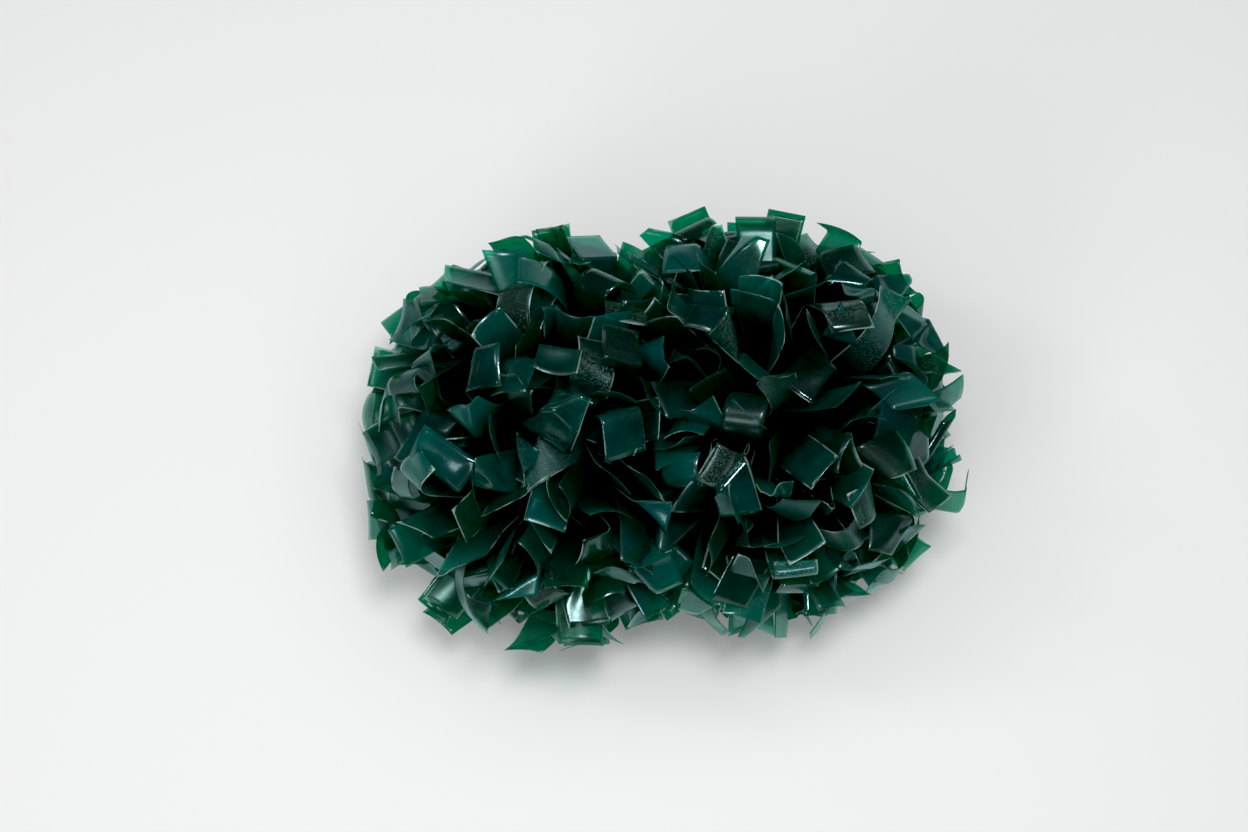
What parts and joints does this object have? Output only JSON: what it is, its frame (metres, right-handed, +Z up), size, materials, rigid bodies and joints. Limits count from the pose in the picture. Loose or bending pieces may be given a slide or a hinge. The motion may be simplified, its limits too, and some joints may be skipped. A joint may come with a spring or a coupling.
{
  "type": "cheer pom pom",
  "caption": "Two round tufts of glossy film strips on the ends of a baton grip, for cheerleading. The bundles of strips flex at their roots.",
  "frame": {"origin": "middle of the grip, on the baton's axis", "axes": "+X along the baton, from the left tuft to the right one; +Z up from the surface the pom rests on"},
  "size_m": [0.2876, 0.2, 0.1846],
  "materials": {
    "film": "glossy wet-look plastic film, dark green",
    "handle_plastic": "moulded plastic, satin black",
    "hub_plastic": "moulded plastic, matte black",
    "tie_nylon": "black nylon",
    "screw_steel": "zinc-plated steel"
  },
  "bodies": {
    "handle": {"baton_handle": "handle_plastic", "left_hub_spool": "hub_plastic", "left_film_spine": "film", "left_cable_tie": "tie_nylon", "left_end_cap": "hub_plastic", "left_cap_screw": "screw_steel", "right_hub_spool": "hub_plastic", "right_film_spine": "film", "right_cable_tie": "tie_nylon", "right_end_cap": "hub_plastic", "right_cap_screw": "screw_steel"},
    "left_inner_top": {"left_inner_strips_top": "film"},
    "left_inner_upper_back": {"left_inner_strips_upper_back": "film"},
    "left_inner_lower_back": {"left_inner_strips_lower_back": "film"},
    "left_inner_bottom": {"left_inner_strips_bottom": "film"},
    "left_inner_lower_front": {"left_inner_strips_lower_front": "film"},
    "left_inner_upper_front": {"left_inner_strips_upper_front": "film"},
    "left_outer_top": {"left_outer_strips_top": "film"},
    "left_outer_upper_back": {"left_outer_strips_upper_back": "film"},
    "left_outer_lower_back": {"left_outer_strips_lower_back": "film"},
    "left_outer_bottom": {"left_outer_strips_bottom": "film"},
    "left_outer_lower_front": {"left_outer_strips_lower_front": "film"},
    "left_outer_upper_front": {"left_outer_strips_upper_front": "film"},
    "right_inner_top": {"right_inner_strips_top": "film"},
    "right_inner_upper_back": {"right_inner_strips_upper_back": "film"},
    "right_inner_lower_back": {"right_inner_strips_lower_back": "film"},
    "right_inner_bottom": {"right_inner_strips_bottom": "film"},
    "right_inner_lower_front": {"right_inner_strips_lower_front": "film"},
    "right_inner_upper_front": {"right_inner_strips_upper_front": "film"},
    "right_outer_top": {"right_outer_strips_top": "film"},
    "right_outer_upper_back": {"right_outer_strips_upper_back": "film"},
    "right_outer_lower_back": {"right_outer_strips_lower_back": "film"},
    "right_outer_bottom": {"right_outer_strips_bottom": "film"},
    "right_outer_lower_front": {"right_outer_strips_lower_front": "film"},
    "right_outer_upper_front": {"right_outer_strips_upper_front": "film"}
  },
  "joints": [
    {"name": "left_inner_top_flex", "type": "hinge", "parent": "handle", "child": "left_inner_top", "pos_m": [-0.043, 0, 0.018], "axis": [0, 1, 0], "range_deg": [-18, 3], "stiffness_Nm_per_rad": 0.3},
    {"name": "left_inner_upper_back_flex", "type": "hinge", "parent": "handle", "child": "left_inner_upper_back", "pos_m": [-0.043, 0.01559, 0.009], "axis": [0, 0.5, -0.866], "range_deg": [-18, 3], "stiffness_Nm_per_rad": 0.3},
    {"name": "left_inner_lower_back_flex", "type": "hinge", "parent": "handle", "child": "left_inner_lower_back", "pos_m": [-0.043, 0.01559, -0.009], "axis": [0, -0.5, -0.866], "range_deg": [-18, 3], "stiffness_Nm_per_rad": 0.3},
    {"name": "left_inner_bottom_flex", "type": "hinge", "parent": "handle", "child": "left_inner_bottom", "pos_m": [-0.043, 0, -0.018], "axis": [0, -1, 0], "range_deg": [-18, 3], "stiffness_Nm_per_rad": 0.3},
    {"name": "left_inner_lower_front_flex", "type": "hinge", "parent": "handle", "child": "left_inner_lower_front", "pos_m": [-0.043, -0.01559, -0.009], "axis": [0, -0.5, 0.866], "range_deg": [-18, 3], "stiffness_Nm_per_rad": 0.3},
    {"name": "left_inner_upper_front_flex", "type": "hinge", "parent": "handle", "child": "left_inner_upper_front", "pos_m": [-0.043, -0.01559, 0.009], "axis": [0, 0.5, 0.866], "range_deg": [-18, 3], "stiffness_Nm_per_rad": 0.3},
    {"name": "left_outer_top_flex", "type": "hinge", "parent": "handle", "child": "left_outer_top", "pos_m": [-0.057, 0, 0.018], "axis": [0, 1, 0], "range_deg": [-12, 14], "stiffness_Nm_per_rad": 0.3},
    {"name": "left_outer_upper_back_flex", "type": "hinge", "parent": "handle", "child": "left_outer_upper_back", "pos_m": [-0.057, 0.01559, 0.009], "axis": [0, 0.5, -0.866], "range_deg": [-12, 14], "stiffness_Nm_per_rad": 0.3},
    {"name": "left_outer_lower_back_flex", "type": "hinge", "parent": "handle", "child": "left_outer_lower_back", "pos_m": [-0.057, 0.01559, -0.009], "axis": [0, -0.5, -0.866], "range_deg": [-12, 14], "stiffness_Nm_per_rad": 0.3},
    {"name": "left_outer_bottom_flex", "type": "hinge", "parent": "handle", "child": "left_outer_bottom", "pos_m": [-0.057, 0, -0.018], "axis": [0, -1, 0], "range_deg": [-12, 14], "stiffness_Nm_per_rad": 0.3},
    {"name": "left_outer_lower_front_flex", "type": "hinge", "parent": "handle", "child": "left_outer_lower_front", "pos_m": [-0.057, -0.01559, -0.009], "axis": [0, -0.5, 0.866], "range_deg": [-12, 14], "stiffness_Nm_per_rad": 0.3},
    {"name": "left_outer_upper_front_flex", "type": "hinge", "parent": "handle", "child": "left_outer_upper_front", "pos_m": [-0.057, -0.01559, 0.009], "axis": [0, 0.5, 0.866], "range_deg": [-12, 14], "stiffness_Nm_per_rad": 0.3},
    {"name": "right_inner_top_flex", "type": "hinge", "parent": "handle", "child": "right_inner_top", "pos_m": [0.043, 0, 0.018], "axis": [0, -1, 0], "range_deg": [-18, 3], "stiffness_Nm_per_rad": 0.3},
    {"name": "right_inner_upper_back_flex", "type": "hinge", "parent": "handle", "child": "right_inner_upper_back", "pos_m": [0.043, 0.01559, 0.009], "axis": [0, -0.5, 0.866], "range_deg": [-18, 3], "stiffness_Nm_per_rad": 0.3},
    {"name": "right_inner_lower_back_flex", "type": "hinge", "parent": "handle", "child": "right_inner_lower_back", "pos_m": [0.043, 0.01559, -0.009], "axis": [0, 0.5, 0.866], "range_deg": [-18, 3], "stiffness_Nm_per_rad": 0.3},
    {"name": "right_inner_bottom_flex", "type": "hinge", "parent": "handle", "child": "right_inner_bottom", "pos_m": [0.043, 0, -0.018], "axis": [0, 1, 0], "range_deg": [-18, 3], "stiffness_Nm_per_rad": 0.3},
    {"name": "right_inner_lower_front_flex", "type": "hinge", "parent": "handle", "child": "right_inner_lower_front", "pos_m": [0.043, -0.01559, -0.009], "axis": [0, 0.5, -0.866], "range_deg": [-18, 3], "stiffness_Nm_per_rad": 0.3},
    {"name": "right_inner_upper_front_flex", "type": "hinge", "parent": "handle", "child": "right_inner_upper_front", "pos_m": [0.043, -0.01559, 0.009], "axis": [0, -0.5, -0.866], "range_deg": [-18, 3], "stiffness_Nm_per_rad": 0.3},
    {"name": "right_outer_top_flex", "type": "hinge", "parent": "handle", "child": "right_outer_top", "pos_m": [0.057, 0, 0.018], "axis": [0, -1, 0], "range_deg": [-12, 14], "stiffness_Nm_per_rad": 0.3},
    {"name": "right_outer_upper_back_flex", "type": "hinge", "parent": "handle", "child": "right_outer_upper_back", "pos_m": [0.057, 0.01559, 0.009], "axis": [0, -0.5, 0.866], "range_deg": [-12, 14], "stiffness_Nm_per_rad": 0.3},
    {"name": "right_outer_lower_back_flex", "type": "hinge", "parent": "handle", "child": "right_outer_lower_back", "pos_m": [0.057, 0.01559, -0.009], "axis": [0, 0.5, 0.866], "range_deg": [-12, 14], "stiffness_Nm_per_rad": 0.3},
    {"name": "right_outer_bottom_flex", "type": "hinge", "parent": "handle", "child": "right_outer_bottom", "pos_m": [0.057, 0, -0.018], "axis": [0, 1, 0], "range_deg": [-12, 14], "stiffness_Nm_per_rad": 0.3},
    {"name": "right_outer_lower_front_flex", "type": "hinge", "parent": "handle", "child": "right_outer_lower_front", "pos_m": [0.057, -0.01559, -0.009], "axis": [0, 0.5, -0.866], "range_deg": [-12, 14], "stiffness_Nm_per_rad": 0.3},
    {"name": "right_outer_upper_front_flex", "type": "hinge", "parent": "handle", "child": "right_outer_upper_front", "pos_m": [0.057, -0.01559, 0.009], "axis": [0, -0.5, -0.866], "range_deg": [-12, 14], "stiffness_Nm_per_rad": 0.3}
  ]
}
